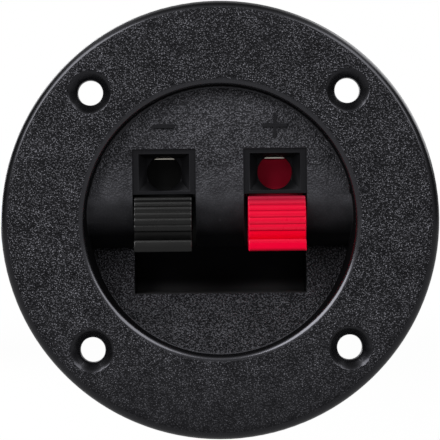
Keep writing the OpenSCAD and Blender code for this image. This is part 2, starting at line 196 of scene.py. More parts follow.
@dataclass(frozen=True)
class MouldedPlastic:
    """Injection-moulded thermoplastic with the texture of its mould.

    A pixel of the render is 0.17 mm wide. The finest part of the mould's grain would vanish in it, so the
    grain is drawn as coarse as it needs to show, not quite two pixels from hill to hill.

    Attributes:
        name: Name of the material.
        colour: sRGB colour of the plastic.
        worn: sRGB colour of its paler patches.
        roughness: Roughness of the smooth skin.
        mottle_mm: Width of the paler patches.
        mottle_rough: How far the roughness of these patches departs from the skin's.
        grain_mm: Width of one pit or hill of the mould's grain.
        grain_depth_mm: Height of the grain, or 0 where the skin has none.
        grain_from: Radius about the middle where the grain begins, in mm.
        grain_to: Radius about the middle where the grain ends, in mm.
        grain_fade: Width over which the grain fades in and out, in mm.
        grain_soft: How far neighbouring hills of the grain run together.
        grit_share: Width of the grit on the hills, as a share of theirs.
        hill_span: Heights of the pattern that stand for the floor of a pit and for a hilltop.
        pit_gloss: Gloss in the pits of the grain, where 0.5 is that of a plain smooth skin.
        hill_gloss: Gloss on the hills. Above 1 it stands for the many facets of a hill, too small to
            draw, of which some always face a lamp.
        sparkle: How much the gloss gathers on the highest hills, where 1 is evenly.
        fade_z: Two heights in mm between which the grain's gloss changes.
        fade: Share of the grain's gloss at these heights.
        shade_z: Two heights in mm, from none of the grain's gloss to all of it.
        calm_z: Two heights in mm, from a shallow grain to the full one.
        calm: Share of the grain that is left at the lower of them.
        calm_gloss: Gloss of the grain where it is shallow.
        patch_mm: Width of the duller and brighter patches of the grain.
        patch_span: Values of the noise that stand for the dullest and the brightest patch.
        uneven: How far the gloss of these patches departs from the grain's own.
        flow_mm: Width of the soft flow marks in the skin.
        flow_depth_mm: Height of the flow marks.
        gloss: Gloss of the smooth skin.
        sheen: sRGB tint of the gloss.
        painted_shading: sRGB colour painted over it as light or shade that falls there.
        painted_shading_z: Heights at which the painted light or shade begins and is strongest, in mm.
    """

    name: str
    colour: str
    worn: str
    roughness: float
    mottle_mm: float = 6.0
    mottle_rough: float = 0.05
    grain_mm: float = 0.4
    grain_depth_mm: float = 0.0
    grain_from: float = 0.0
    grain_to: float = 1000.0
    grain_fade: float = 0.35
    grain_soft: float = 0.35
    grit_share: float = 0.8
    hill_span: Span = (-0.1, 0.55)
    pit_gloss: float = 0.1
    hill_gloss: float = 0.9
    sparkle: float = 1.0
    fade_z: Span = (-40.0, 40.0)
    fade: Span = (1.0, 1.0)
    shade_z: Span = (-50.0, -49.0)
    calm_z: Span = (-50.0, -49.0)
    calm: float = 1.0
    calm_gloss: float = 0.5
    patch_mm: float = 3.5
    patch_span: Span = (0.3, 0.7)
    uneven: float = 0.25
    flow_mm: float = 1.6
    flow_depth_mm: float = 0.004
    gloss: float = 0.5
    sheen: str = WHITE
    painted_shading: Optional[str] = None
    painted_shading_z: Span = (0.0, 0.0)

    def make(self) -> Material:
        """Builds the material's nodes.

        Returns:
            The material.
        """
        material, tree = new_material(self.name)
        place = add_node(tree, "ShaderNodeTexCoord").outputs["Object"]
        mottle = add_node(
            tree,
            "ShaderNodeTexNoise",
            {"Scale": scale_of(self.mottle_mm), "Detail": 3.0, "Roughness": 0.6},
            {"Vector": place},
        ).outputs["Fac"]
        tone = add_node(
            tree,
            "ShaderNodeMix",
            {"data_type": "RGBA", 6: linear(self.colour), 7: linear(self.worn)},
            {0: mottle},
        ).outputs[2]
        # Painted light or shade: a colour laid over the plastic by height, for light or shade that falls
        # there
        if self.painted_shading is not None:
            tone = self.add_painted_shading(tree, place, tone)
        rough = add_node(
            tree,
            "ShaderNodeMapRange",
            {"To Min": self.roughness - self.mottle_rough, "To Max": self.roughness + self.mottle_rough},
            {"Value": mottle},
        ).outputs["Result"]
        flow = add_node(
            tree, "ShaderNodeTexNoise", {"Scale": scale_of(self.flow_mm), "Detail": 2.0}, {"Vector": place}
        ).outputs["Fac"]
        normal = add_node(
            tree, "ShaderNodeBump", {"Strength": 1.0, "Distance": self.flow_depth_mm * MM}, {"Height": flow}
        ).outputs["Normal"]
        shine = {}
        if self.grain_depth_mm > 0:
            normal, shine["Specular IOR Level"] = self.add_grain(tree, place, normal)
        shader = add_node(
            tree,
            "ShaderNodeBsdfPrincipled",
            {"IOR": 1.5, "Specular IOR Level": self.gloss, "Specular Tint": linear(self.sheen)},
            {"Base Color": tone, "Roughness": rough, "Normal": normal, **shine},
        )
        add_node(tree, "ShaderNodeOutputMaterial", None, {"Surface": shader.outputs["BSDF"]})
        return material

    def add_painted_shading(self, tree: Tree, place: Socket, tone: Socket) -> Socket:
        """Paints light or shade over the plastic, from where it begins to where it is strongest.

        Args:
            tree: Tree of the material.
            place: Object coordinates.
            tone: Colour of the plastic.

        Returns:
            The colour with the painted light or shade.
        """
        height = add_node(tree, "ShaderNodeSeparateXYZ", None, {0: place}).outputs["Z"]
        begin, full = self.painted_shading_z
        shading_share = add_node(
            tree,
            "ShaderNodeMapRange",
            {"interpolation_type": "SMOOTHSTEP", "From Min": begin * MM, "From Max": full * MM},
            {"Value": height},
        ).outputs["Result"]
        return add_node(
            tree, "ShaderNodeMix", {"data_type": "RGBA", 7: linear(self.painted_shading)}, {0: shading_share, 6: tone}
        ).outputs[2]

    def add_grain(self, tree: Tree, place: Socket, normal: Socket) -> tuple[Socket, Socket]:
        """Adds the mould's grain between its two radii.

        Args:
            tree: Tree of the material.
            place: Object coordinates.
            normal: Normal under the grain.

        Returns:
            The normal with the grain, and the gloss that its pits and hills leave.
        """
        hills = add_node(
            tree,
            "ShaderNodeTexVoronoi",
            {
                "feature": "SMOOTH_F1",
                "Scale": scale_of(self.grain_mm),
                "Smoothness": self.grain_soft,
                "Randomness": 1.0,
            },
            {"Vector": place},
        ).outputs["Distance"]
        grit = add_node(
            tree,
            "ShaderNodeTexNoise",
            {"Scale": scale_of(self.grain_mm * self.grit_share), "Detail": 2.0, "Roughness": 0.55},
            {"Vector": place},
        ).outputs["Fac"]
        relief = add_node(
            tree, "ShaderNodeMath", {"operation": "SUBTRACT"}, {0: grit, 1: hills}
        ).outputs[0]
        flat = add_node(
            tree, "ShaderNodeVectorMath", {"operation": "MULTIPLY", 1: (1.0, 0.0, 1.0)}, {0: place}
        ).outputs[0]
        radius = add_node(tree, "ShaderNodeVectorMath", {"operation": "LENGTH"}, {0: flat}).outputs["Value"]
        begin, end = (
            add_node(
                tree,
                "ShaderNodeMapRange",
                {"interpolation_type": "SMOOTHSTEP", "From Min": none * MM, "From Max": full * MM},
                {"Value": radius},
            ).outputs["Result"]
            for none, full in (
                (self.grain_from, self.grain_from + self.grain_fade),
                (self.grain_to, self.grain_to - self.grain_fade),
            )
        )
        band = add_node(tree, "ShaderNodeMath", {"operation": "MULTIPLY"}, {0: begin, 1: end}).outputs[0]
        height = add_node(tree, "ShaderNodeSeparateXYZ", None, {0: place}).outputs["Z"]
        fade, shade, calm = (
            add_node(
                tree,
                "ShaderNodeMapRange",
                {"From Min": span[0] * MM, "From Max": span[1] * MM, "To Min": low, "To Max": high},
                {"Value": height},
            ).outputs["Result"]
            for span, low, high in (
                (self.fade_z, *self.fade), (self.shade_z, 0.0, 1.0), (self.calm_z, self.calm, 1.0)
            )
        )
        depth = add_node(tree, "ShaderNodeMath", {"operation": "MULTIPLY"}, {0: band, 1: calm}).outputs[0]
        grained = add_node(
            tree,
            "ShaderNodeBump",
            {"Distance": self.grain_depth_mm * MM},
            {"Strength": depth, "Height": relief, "Normal": normal},
        ).outputs["Normal"]
        # The pits of the grain lie in their own shade, and its hills catch the light
        hilltops = add_node(
            tree,
            "ShaderNodeMapRange",
            {"From Min": self.hill_span[0], "From Max": self.hill_span[1]},
            {"Value": relief},
        ).outputs["Result"]
        hilltops = add_node(
            tree, "ShaderNodeMath", {"operation": "POWER", 1: self.sparkle}, {0: hilltops}
        ).outputs[0]
        gloss = add_node(
            tree,
            "ShaderNodeMapRange",
            {"To Min": self.pit_gloss, "To Max": self.hill_gloss},
            {"Value": hilltops},
        ).outputs["Result"]
        gloss = add_node(tree, "ShaderNodeMix", {2: self.calm_gloss}, {0: calm, 3: gloss}).outputs[0]
        # The mould's grain is a little uneven, so that some patches of it are duller than others
        patches = add_node(
            tree, "ShaderNodeTexNoise", {"Scale": scale_of(self.patch_mm), "Detail": 2.0}, {"Vector": place}
        ).outputs["Fac"]
        uneven = add_node(
            tree,
            "ShaderNodeMapRange",
            {
                "From Min": self.patch_span[0],
                "From Max": self.patch_span[1],
                "To Min": 1.0 - self.uneven,
                "To Max": 1.0 + self.uneven,
            },
            {"Value": patches},
        ).outputs["Result"]
        share = fade
        for factor in (shade, uneven, gloss):
            share = add_node(
                tree, "ShaderNodeMath", {"operation": "MULTIPLY"}, {0: share, 1: factor}
            ).outputs[0]
        gloss = add_node(tree, "ShaderNodeMix", {2: self.gloss}, {0: band, 3: share}).outputs[0]
        return grained, gloss


@dataclass(frozen=True)
class PlatedMetal:
    """Plated sheet, wire or turned metal with fine drawing marks.

    Real drawing marks are a few hundredths of a millimetre apart, which is too fine for the render, so
    they are drawn as coarse as they need to show.

    Attributes:
        name: Name of the material.
        colour: sRGB colour of the plating.
        tarnish: sRGB colour of its duller patches.
        roughness: Roughness of the plating.
        tarnish_mm: Width of the duller patches.
        mark_mm: Spacing of the drawing marks.
        mark_depth_mm: Height of the drawing marks.
        mark_rough: How far the roughness in a mark departs from the plating's.
        stretch: How far the marks run along each axis, as scale factors.
    """

    name: str
    colour: str
    tarnish: str
    roughness: float
    tarnish_mm: float = 2.5
    mark_mm: float = 0.12
    mark_depth_mm: float = 0.004
    mark_rough: float = 0.08
    stretch: tuple[float, float, float] = (1.0, 1.0, 1.0)

    def make(self) -> Material:
        """Builds the material's nodes.

        Returns:
            The material.
        """
        material, tree = new_material(self.name)
        place = add_node(tree, "ShaderNodeTexCoord").outputs["Object"]
        along = add_node(
            tree, "ShaderNodeMapping", {"Scale": self.stretch}, {"Vector": place}
        ).outputs["Vector"]
        marks = add_node(
            tree, "ShaderNodeTexNoise", {"Scale": scale_of(self.mark_mm), "Detail": 3.0}, {"Vector": along}
        ).outputs["Fac"]
        patches = add_node(
            tree,
            "ShaderNodeTexNoise",
            {"Scale": scale_of(self.tarnish_mm), "Detail": 4.0, "Roughness": 0.65},
            {"Vector": place},
        ).outputs["Fac"]
        tone = add_node(
            tree,
            "ShaderNodeMix",
            {"data_type": "RGBA", 6: linear(self.colour), 7: linear(self.tarnish)},
            {0: patches},
        ).outputs[2]
        rough = add_node(
            tree,
            "ShaderNodeMapRange",
            {"To Min": self.roughness - self.mark_rough, "To Max": self.roughness + self.mark_rough},
            {"Value": marks},
        ).outputs["Result"]
        normal = add_node(
            tree, "ShaderNodeBump", {"Strength": 1.0, "Distance": self.mark_depth_mm * MM}, {"Height": marks}
        ).outputs["Normal"]
        shader = add_node(
            tree,
            "ShaderNodeBsdfPrincipled",
            {"Metallic": 1.0},
            {"Base Color": tone, "Roughness": rough, "Normal": normal},
        )
        add_node(tree, "ShaderNodeOutputMaterial", None, {"Surface": shader.outputs["BSDF"]})
        return material


class Workpiece:
    """A mesh on the bench: it is shaped in millimetres and handed over in metres."""

    def __init__(self, name: str, node: Optional[str] = None) -> None:
        """Starts an empty mesh, or a clean copy of a solid.

        Args:
            name: Name of the piece.
            node: Solid to copy, whose loose triangles are merged into whole faces.
        """
        self.name = name
        self.softened = False
        self.bm = bmesh.new()
        if node is not None:
            self.bm.from_mesh(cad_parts[node].data)
            bmesh.ops.scale(self.bm, vec=Vector((1, 1, 1)) / MM, verts=self.bm.verts)
            bmesh.ops.remove_doubles(self.bm, verts=self.bm.verts, dist=MERGE_MM)
            bmesh.ops.dissolve_limit(
                self.bm, angle_limit=math.radians(FLAT_DEG), verts=self.bm.verts, edges=self.bm.edges
            )

    def sharp_edges(self, test: Callable[[Edge], bool] = lambda edge: True) -> list[Edge]:
        """Sharp outer edges that pass a test.

        Args:
            test: Says whether an edge is wanted.

        Returns:
            The edges between two faces that turn outwards by more than the sharp angle.
        """
        sharp = math.radians(SHARP_DEG)
        return [
            e for e in self.bm.edges
            if len(e.link_faces) == 2 and e.is_convex and e.calc_face_angle(0.0) > sharp and test(e)
        ]

    def soften(self, edges: Iterable[Edge], radius: float, segments: int = 2) -> None:
        """Rounds edges.

        Args:
            edges: Edges to round.
            radius: Size of the rounding in millimetres.
            segments: Steps of the rounding.
        """
        self.softened = True
        bmesh.ops.bevel(
            self.bm,
            geom=list(edges),
            offset=radius,
            offset_type="OFFSET",
            affect="EDGES",
            segments=segments,
            profile=0.5,
            material=-1,
            clamp_overlap=False,
        )

    def sort_faces(self, zone_of: Callable[[Face], Enum]) -> None:
        """Gives each face the material of its zone.

        Args:
            zone_of: Finds the zone of a face.
        """
        for face in self.bm.faces:
            face.material_index = zone_of(face).value

    def hand_over(
        self, body: Optional[str], materials: list[Material], node: Optional[str] = None
    ) -> Piece:
        """Makes the piece's object and ties it to the frame.

        Args:
            body: Body that the piece moves with, or None for a piece tied to no body.
            materials: Materials in the order of the faces' indices.
            node: Solid that the piece stands for.

        Returns:
            The finished object.
        """
        bmesh.ops.scale(self.bm, vec=Vector((1, 1, 1)) * MM, verts=self.bm.verts)
        mesh = bpy.data.meshes.new(self.name)
        self.bm.to_mesh(mesh)
        self.bm.free()
        mesh.shade_smooth()
        mesh.set_sharp_from_angle(angle=math.radians(SHARP_DEG))
        for material in materials:
            mesh.materials.append(material)
        piece = bpy.data.objects.new(self.name, mesh)
        bpy.context.scene.collection.objects.link(piece)
        if self.softened:
            # Large faces keep their own normal, and the light runs over the rounded edges between them
            piece.modifiers.new("even_normals", "WEIGHTED_NORMAL").keep_sharp = True
        if body is not None:
            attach(piece, body)
        if node is not None:
            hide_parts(node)
        LOG.info("%s rides on %s with %d faces", self.name, body or "two bodies", len(mesh.polygons))
        return piece


@dataclass
class Housing:
    """Flange, cup and bays in one moulding, with the raised polarity marks. Sizes in mm.

    The sizes are those of the solid and tell its faces apart. A name with cos says how far a face looks
    to the front, or sideways for level_cos, and one with near says how close to its place it lies.

    Attributes:
        flange_rise: How far behind the flange's front its rounded edge still has the grain.
        rim_in_r: Inside of the cup's rim.
        rim_out_r: Outside of the rim, where the flange begins.
        flange_r: Radius where the flange's face ends.
        step_deg: Tilt of the step's faces, which look down.
        ramp_deg: Least tilt of the ramp's faces, which look up.
        mark_x: Distance of the bays, and of the marks, from the middle.
        mark_h: Height of the marks above the floor.
        upright_share: Height of the plus's upright bar, as a share of the level one's.
    """

    front_y: float = CAD_BOX[0].y / MM
    floor_y: float = 0.0
    frame_y: float = 0.4
    flange_rise: float = 0.4
    flange_cos: float = 0.85
    rim_in_r: float = 23.0
    rim_out_r: float = 23.9
    flange_r: float = 36.2
    wall_near: float = 0.2
    wall_cos: float = 0.35
    rim_cos: float = 0.05
    step_top_z: float = 4.3
    step_bottom_z: float = -4.7
    step_deg: Span = (-75.0, -1.0)
    ramp_top_y: float = 5.99
    ramp_slope: float = 0.3716
    ramp_near: float = 0.05
    ramp_deg: float = 1.0
    pit_half_w: float = 15.0
    pit_z: Span = (-12.75, -4.7)
    pit_y: Span = (2.0, 12.7)
    funnel_z: Span = (4.7, 11.5)
    funnel_y: Span = (0.45, 3.55)
    funnel_half_w: float = 4.4
    square_cos: float = 0.999
    plane_near: float = 0.01
    frame_near: float = 0.02
    level_cos: float = 0.01
    edge_r: float = 0.12
    mark_x: float = 9.55
    mark_z: float = 16.2
    minus_len: float = 3.9
    plus_len: float = 4.3
    mark_w: float = 0.7
    mark_h: float = 0.25
    upright_share: float = 0.95
    mark_edge_r: float = mark_h / 3

    def zone_of(self, face: Face) -> Zone:
        """Finds the mould texture of a face by the plane it lies in.

        Args:
            face: Face of the housing, in millimetres.

        Returns:
            The first zone that the face fits, or the smooth one.
        """
        x, y, z = face.calc_center_median()
        normal = face.normal
        tilt = math.degrees(math.atan2(normal.z, -normal.y))
        radius = math.hypot(x, z)
        square = normal.y < -self.square_cos
        level = abs(normal.x) < self.level_cos
        on_edge = normal.y < -self.flange_cos and y < self.front_y + self.flange_rise
        at_wall = abs(radius - self.rim_in_r) < self.wall_near and y < self.ramp_top_y
        ramp_y = self.ramp_top_y + (z - self.step_bottom_z) * self.ramp_slope
        in_pit = abs(x) < self.pit_half_w and inside(z, self.pit_z)
        in_bay = abs(abs(x) - self.mark_x) < self.funnel_half_w
        tests = (
            (Zone.FLANGE, square and abs(y - self.front_y) < self.plane_near),
            (Zone.FLANGE, on_edge and inside(radius, (self.rim_out_r, self.flange_r))),
            (Zone.WALL, at_wall and abs(normal.y) < self.wall_cos),
            (Zone.FLOOR, square and abs(y - self.floor_y) < self.plane_near),
            (Zone.FRAME, square and abs(y - self.frame_y) < self.frame_near),
            (Zone.RAMP, level and abs(y - ramp_y) < self.ramp_near and tilt > self.ramp_deg),
            (Zone.PIT, in_pit and inside(y, self.pit_y)),
            (Zone.STEP, level and inside(tilt, self.step_deg) and z < self.step_top_z and y > self.floor_y),
            (Zone.RIM, inside(radius, (self.rim_in_r, self.rim_out_r)) and y < self.floor_y
                and normal.y < -self.rim_cos),
            (Zone.FUNNEL, in_bay and inside(y, self.funnel_y) and inside(z, self.funnel_z)),
        )
        return next((zone for zone, fits in tests if fits), Zone.SMOOTH)

    def finishes(self) -> dict[Zone, Material]:
        """Makes the finish of each zone.

        Black ABS is nearly black inside, so all its light comes from gloss, which the grain scatters.

        Returns:
            The material of each zone.
        """
        black = {"colour": "#070708", "worn": "#0a0a0b", "sheen": "#f3f3ff"}
        # The grain of the floor runs out over the step, whose lower side lies in the shade
        floor = MouldedPlastic(
            "black_abs_floor_grain", roughness=0.55, grain_mm=0.3, grain_depth_mm=0.14, grain_to=23.0,
            pit_gloss=0.35, hill_gloss=2.3, fade_z=(5.0, 20.0), fade=(0.52, 1.1), shade_z=(-2.6, 4.0),
            calm_z=(3.0, 10.0), calm=0.2, calm_gloss=1.7, **black,
        ).make()
        # Sparks on the hills of the flange's leather grain, which gets shallow towards the foot
        flange = MouldedPlastic(
            "black_abs_spark_grain", roughness=0.46, grain_mm=0.27, grain_depth_mm=0.16, grain_from=23.9,
            grain_fade=0.25, pit_gloss=0.15, hill_gloss=3.6, sparkle=2.1, fade_z=(-20.0, 36.0),
            fade=(1.06, 0.93), calm_z=(-32.0, -10.0), calm=0.5, calm_gloss=0.35, **black,
        ).make()
        # The ramp has the floor's grain with less gloss
        ramp = MouldedPlastic(
            "black_abs_ramp_grain", roughness=0.5, grain_mm=0.3, grain_depth_mm=0.14, grain_to=23.0,
            pit_gloss=0.1, hill_gloss=1.2, **black,
        ).make()
        return {
            # Plain skin of the mould, as on the marks and the back
            Zone.SMOOTH: MouldedPlastic("black_abs_smooth", roughness=0.22, **black).make(),
            Zone.FLANGE: flange,
            Zone.FLOOR: floor,
            Zone.STEP: floor,
            Zone.RAMP: ramp,
            # Painted light: the fillet at the bottom of the pit turns a paler grey towards its foot, where
            # it faces up to the lamps; the pit is black otherwise
            Zone.PIT: MouldedPlastic(
                "black_abs_deep_matt", roughness=0.7, gloss=0.04, painted_shading="#2c2c2d", painted_shading_z=(-10.4, -12.7),
                **black,
            ).make(),
            # The funnels swallow the light
            Zone.FUNNEL: MouldedPlastic("black_abs_matt", roughness=0.35, gloss=0.05, **black).make(),
            # The cup's wall is seen edge-on and stays dark, as it lies in the shade of the rim
            Zone.WALL: MouldedPlastic("black_abs_shaded_wall", roughness=0.7, gloss=0.03, **black).make(),
            # The rim is rubbed bright
            Zone.RIM: MouldedPlastic("black_abs_burnished", roughness=0.21, gloss=0.9, **black).make(),
            # The frames have no grain and are a little duller than the smooth skin
            Zone.FRAME: MouldedPlastic("black_abs_dull", roughness=0.3, gloss=0.34, **black).make(),
        }

    def build(self) -> list[Piece]:
        """Builds and dresses the moulding and its marks.

        Returns:
            The pieces.
        """
        finishes = self.finishes()
        body = Workpiece("housing_moulding", "housing")
        body.soften(body.sharp_edges(), self.edge_r)
        body.sort_faces(self.zone_of)
        materials = [finishes[zone] for zone in Zone]
        moulding = body.hand_over("root", materials, "housing")
        smooth = finishes[Zone.SMOOTH]
        return [
            moulding,
            self.mark("minus_mark", -self.mark_x, self.minus_len, (True,), smooth),
            self.mark("plus_mark", self.mark_x, self.plus_len, (True, False), smooth),
        ]

    def mark(self, name: str, x: float, length: float, bars: tuple[bool, ...], material: Material) -> Piece:
        """Builds one raised polarity mark on the upper floor.

        Args:
            name: Name of the piece.
            x: Place of the mark's middle.
            length: Length of its bars.
            bars: For each bar, whether it lies level.
            material: Finish of the mark.

        Returns:
            The finished mark.
        """
        piece = Workpiece(name)
        # A bar goes as far into the floor as it stands above it
        shading_share = 2 * self.mark_h
        for level in bars:
            size = (length, shading_share, self.mark_w)
            if not level:
                # The upright bar is a little lower, so that the two faces don't lie in one plane
                size = (self.mark_w, shading_share * self.upright_share, length)
            place = Matrix.Translation((x, self.floor_y, self.mark_z)) @ Matrix.Diagonal((*size, 1.0))
            bmesh.ops.create_cube(piece.bm, size=1.0, matrix=place)
        piece.soften(piece.sharp_edges(), self.mark_edge_r)
        return piece.hand_over("root", [material])


@dataclass
class Lever:
    """One push lever with its ribbed face, lip, jaw and axle. Sizes in mm.

    Attributes:
        node: Solid of the lever.
        body: Body that it is.
        slot: Material slot of the record; not used.
        lip_front_y: What lies in front of this, low on the lever, is the lip or the trough.
        lip_low_z: Height below which the lip's front has its own finish.
        lip_level: How level the lip's level edges are.
        jaw_y: Front of the jaw behind the wire hole.
        jaw_near: How close to it the jaw's faces lie.
        face_y: Depth of the axis about which the ribbed face curves.
        face_z: Height of that axis.
        groove_r: Radii about it between which the bottoms of the grooves lie.
        trough_r: Radii between which the bottom of the trough above the lip lies.
        square_cos: How squarely a flat face looks to the front or to the side.
        aside_cos: How far a face may look sideways, or has to look to the front.
    """

    node: str
    body: str
    slot: str
    edge_r: float = 0.22
    edge_steps: int = 3
    lip_z: Span = (-5.5, -3.2)
    lip_front_y: float = -0.5
    lip_low_z: float = -4.0
    lip_level: float = 0.01
    lip_r: float = 0.25
    lip_steps: int = 4
    jaw_y: float = 5.4
    jaw_near: float = 0.05
    face_y: float = 3.5
    face_z: float = -0.3
    groove_r: Span = (5.4, 5.54)
    trough_z: Span = (-3.4, -2.0)
    trough_r: Span = (5.36, 5.42)
    square_cos: float = 0.99
    aside_cos: float = 0.1

    def is_lip(self, edge: Edge) -> bool:
        """Finds the level edges of the lip at the foot of the lever's face.

        Args:
            edge: Edge of the lever, in millimetres.

        Returns:
            Whether it is one of them.
        """
        one, two = (v.co for v in edge.verts)
        level = abs(one.z - two.z) < self.lip_level
        return level and inside(one.z, self.lip_z) and max(one.y, two.y) < self.lip_front_y

    def is_side(self, edge: Edge) -> bool:
        """Whether an edge borders on a side of the lever."""
        return any(abs(f.normal.x) > self.square_cos for f in edge.link_faces)

    def zone_of(self, face: Face) -> LeverZone:
        """Finds the surface that a face belongs to.

        Args:
            face: Face of the lever, in millimetres.

        Returns:
            The first zone that the face fits, or the smooth one.
        """
        _, y, z = face.calc_center_median()
        normal = face.normal
        radius = math.hypot(y - self.face_y, z - self.face_z)
        level = abs(normal.x) < self.aside_cos
        on_face = y < self.face_y and z > self.lip_z[1]
        in_front = y < self.lip_front_y
        tests = (
            (LeverZone.JAW, normal.y < -self.square_cos and abs(y - self.jaw_y) < self.jaw_near),
            (LeverZone.GROOVE, on_face and level and inside(radius, self.groove_r)),
            (LeverZone.TROUGH, in_front and inside(radius, self.trough_r) and inside(z, self.trough_z)),
            (LeverZone.LIP, in_front and level and normal.y < -self.aside_cos
                and inside(z, (self.lip_z[0], self.lip_low_z))),
        )
        return next((zone for zone, fits in tests if fits), LeverZone.SMOOTH)

    def build(self, finishes: dict[LeverZone, MouldedPlastic]) -> Piece:
        """Builds and dresses the lever, with a soft lip and rounded side edges.

        Args:
            finishes: Finish of each zone.

        Returns:
            The finished lever.
        """
        piece = Workpiece(self.node + "_moulding", self.node)
        piece.soften(piece.sharp_edges(self.is_lip), self.lip_r, self.lip_steps)
        piece.soften(piece.sharp_edges(self.is_side), self.edge_r, self.edge_steps)
        piece.sort_faces(self.zone_of)
        materials = [finishes[zone].make() for zone in LeverZone]
        return piece.hand_over(self.body, materials, self.node)


def black_lever_finishes() -> dict[LeverZone, MouldedPlastic]:
    """Finishes of the black lever, which is ABS from a polished mould.

    Returns:
        The finish of each zone.
    """
    black = {"colour": "#0a0a0a", "worn": "#0d0d0d"}
    return {
        # The polished skin has soft narrow lights along the ribs
        LeverZone.SMOOTH: MouldedPlastic("black_abs_polished", roughness=0.28, gloss=0.4, **black),
        # Painted shade: the grooves between the ribs are a darker black
        LeverZone.GROOVE: MouldedPlastic("black_abs_groove", "#050505", "#070707", 0.4, gloss=0.22),
        # The lip keeps some of the light from the trough above it
        LeverZone.TROUGH: MouldedPlastic("black_abs_trough", roughness=0.4, gloss=0.3, **black),
        # The lip has the same skin as the ribs
        LeverZone.LIP: MouldedPlastic("black_abs_lip", roughness=0.28, gloss=0.4, **black),
        # The jaw stays in the shade of the wire hole and is matt
        LeverZone.JAW: MouldedPlastic("black_abs_matt_jaw", roughness=0.7, gloss=0.1, **black),
    }


def red_lever_finishes() -> dict[LeverZone, MouldedPlastic]:
    """Finishes of the red lever, which is ABS from a polished mould.

    Returns:
        The finish of each zone.
    """
    # Painted shade: the red turns darker and duller towards the lever's top, where it goes under the frame
    # of the entry
    ribs = {"sheen": "#ffb4c4", "painted_shading": "#8c1a30", "painted_shading_z": (1.8, 4.4)}
    return {
        # The polished skin has soft narrow lights along the ribs
        LeverZone.SMOOTH: MouldedPlastic("red_abs_polished", "#cf002b", "#d3022d", 0.28, gloss=0.36, **ribs),
        # Painted shade: the grooves between the ribs are a darker red
        LeverZone.GROOVE: MouldedPlastic("red_abs_groove", "#a8001f", "#ac0221", 0.4, gloss=0.1, **ribs),
        # Painted light: the trough above the lip is a brighter, purer red, for the red light that the lip
        # throws into it
        LeverZone.TROUGH: MouldedPlastic("red_abs_trough", "#e90029", "#ec022b", 0.4, gloss=0.02),
        # Painted shade darkens the lip's foot to a deeper red, where it turns down into shadow
        LeverZone.LIP: MouldedPlastic(
            "red_abs_lip", "#d1002b", "#d5022d", 0.28, gloss=0.05, painted_shading="#68000e", painted_shading_z=(-4.65, -5.5)
        ),
        # Painted shade: the jaw is a darker red for the shade of the wire hole that it stays in, and it is
        # matt
        LeverZone.JAW: MouldedPlastic("red_abs_matt_jaw", "#86001d", "#8a021f", 0.7, gloss=0.1),
    }


@dataclass
class PlainPart:
    """A piece with one finish, whose edges are softened by its mould or its plating. Sizes in mm.

    Attributes:
        node: Solid of the piece.
        making: How it was made, for its name.
        slot: Material slot of the record; not used.
        edge_r: Rounding of its edges.
    """

    node: str
    making: str
    slot: str
    edge_r: float

    def build(self, material: Material) -> Piece:
        """Builds and dresses the piece.

        Args:
            material: Finish of the piece.

        Returns:
            The finished piece.
        """
        piece = Workpiece(f"{self.node}_{self.making}", self.node)
        piece.soften(piece.sharp_edges(), self.edge_r)
        return piece.hand_over("root", [material], self.node)


@dataclass
class Spring:
    """Coil spring between a lever and the rear cover, wound along Y. Sizes in mm.

    Attributes:
        bay: Bay that the spring stands in.
        lever_body: Body of the lever that it pushes; not used.
        wire_d: Thickness of the wire.
        turns: Turns of the coil, with the closed one at each end.
        steps: Steps of a turn.
        wire_sides: Sides of the wire's round section.
        closed_pitch: Rise of a closed turn, in widths of the wire.
    """

    bay: Bay
    lever_body: str
    wire_d: float = 0.55
    turns: int = 7
    steps: int = 28
    wire_sides: int = 12
    closed_pitch: float = 1.1

    def build(self, material: Material) -> Piece:
        """Winds and dresses the spring, with closed end turns.

        Args:
            material: Metal of the wire.

        Returns:
            The finished spring.
        """
        node = "spring_" + self.bay.value
        low, high = (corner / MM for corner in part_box(node))
        middle = (low + high) / 2
        coil_r = (high.x - low.x - self.wire_d) / 2
        start = low.y + self.wire_d / 2
        travel = high.y - low.y - self.wire_d
        closed = self.closed_pitch * self.wire_d
        open_turns = self.turns - 2
        pitch = (travel - 2 * closed) / open_turns
        piece = Workpiece(node + "_coil")
        place = Matrix.Translation((middle.x + coil_r, start, middle.z))
        ring = bmesh.ops.create_circle(
            piece.bm, cap_ends=True, segments=self.wire_sides, radius=self.wire_d / 2, matrix=place
        )["verts"]
        geometry = list(dict.fromkeys(e for v in ring for e in v.link_edges)) + list(ring)
        for count, rise in ((1, closed), (open_turns, pitch), (1, closed)):
            turned = bmesh.ops.spin(
                piece.bm,
                geom=geometry,
                cent=(middle.x, 0, middle.z),
                axis=(0, -1, 0),
                dvec=(0, rise / self.steps, 0),
                angle=2 * math.pi * count,
                steps=self.steps * count,
            )
            geometry = turned["geom_last"]
        end_edges = [g for g in geometry if isinstance(g, Edge)]
        bmesh.ops.contextual_create(piece.bm, geom=end_edges)
        bmesh.ops.remove_doubles(piece.bm, verts=piece.bm.verts, dist=MERGE_MM)
        bmesh.ops.recalc_face_normals(piece.bm, faces=piece.bm.faces)
        coil = piece.hand_over(None, [material], node)
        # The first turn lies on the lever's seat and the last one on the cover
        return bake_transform(coil)


